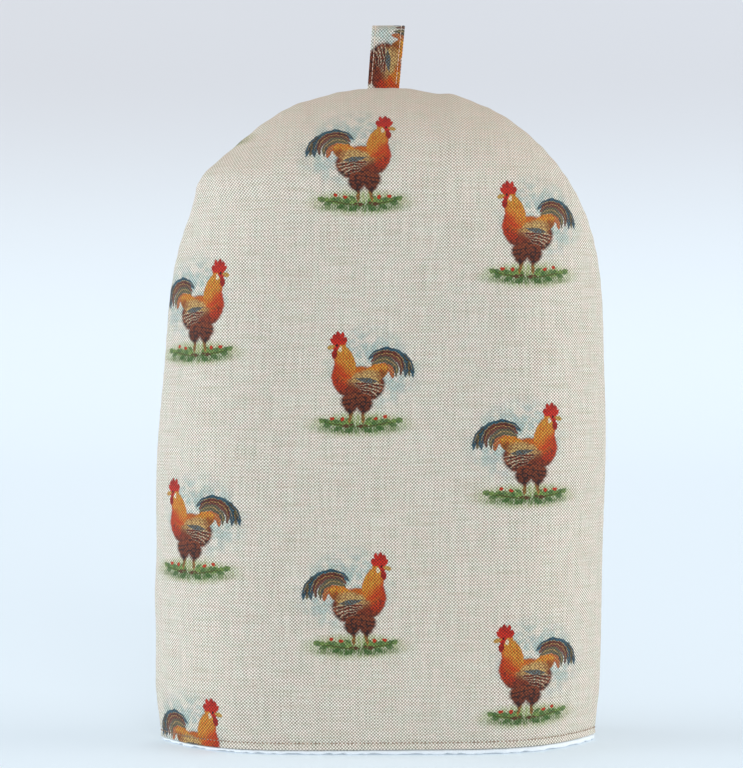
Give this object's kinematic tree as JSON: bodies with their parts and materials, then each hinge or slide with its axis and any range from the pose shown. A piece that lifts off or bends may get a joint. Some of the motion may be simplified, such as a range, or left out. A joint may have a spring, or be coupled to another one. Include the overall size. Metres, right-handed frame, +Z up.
{
  "type": "cafetiere cosy",
  "caption": "Domed, padded linen cover with a printed front and back, a white lining and a hanging loop, open at the hem to slip over a coffee press.",
  "frame": {"origin": "middle of the hem's footprint, on the surface that the cosy stands on", "axes": "+Z up along the cosy's height, front facing -Y, +X to the right when the front is looked at"},
  "size_m": [0.2424, 0.0936, 0.3846],
  "materials": {
    "printed_linen_front": "plain-weave natural linen look, matt, with a printed repeat",
    "printed_linen_back": "plain-weave natural linen look, matt, with a printed repeat",
    "white_lining": "soft white brushed cloth, matt",
    "printed_linen_loop": "the same printed linen, turned sideways, topstitched"
  },
  "bodies": {
    "root": {"front_panel": "printed_linen_front", "back_panel": "printed_linen_back", "front_lining": "white_lining", "back_lining": "white_lining", "hanging_loop": "printed_linen_loop"}
  },
  "joints": []
}
